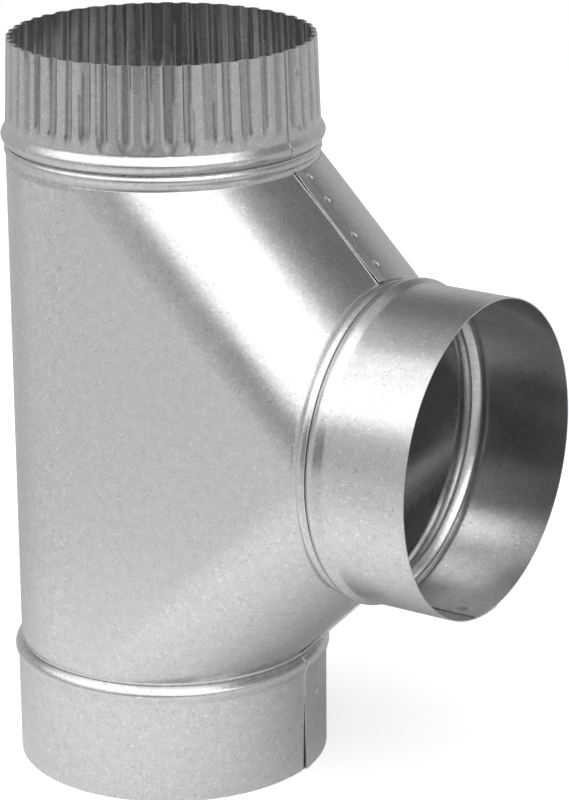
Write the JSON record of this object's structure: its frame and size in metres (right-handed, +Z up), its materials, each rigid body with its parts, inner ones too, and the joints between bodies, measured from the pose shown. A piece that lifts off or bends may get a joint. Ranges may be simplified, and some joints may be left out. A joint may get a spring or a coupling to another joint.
{
  "type": "duct tee",
  "caption": "Round galvanised sheet-metal duct tee with a crimped end, a plain end and a side branch, beaded collars and lapped, spot-welded seams.",
  "frame": {"origin": "centre of the plain end's rim", "axes": "+Z up the straight run to the crimped end, +X out of the branch"},
  "size_m": [0.2635, 0.1594, 0.3677],
  "materials": {
    "body_sheet": "galvanised, satin",
    "plain_collar_sheet": "galvanised, satin",
    "branch_collar_sheet": "galvanised, satin",
    "crimped_collar_sheet": "galvanised, satin"
  },
  "bodies": {
    "root": {"body_wrapper": "body_sheet", "plain_collar": "plain_collar_sheet", "branch_collar": "branch_collar_sheet", "crimped_collar": "crimped_collar_sheet"}
  },
  "joints": []
}
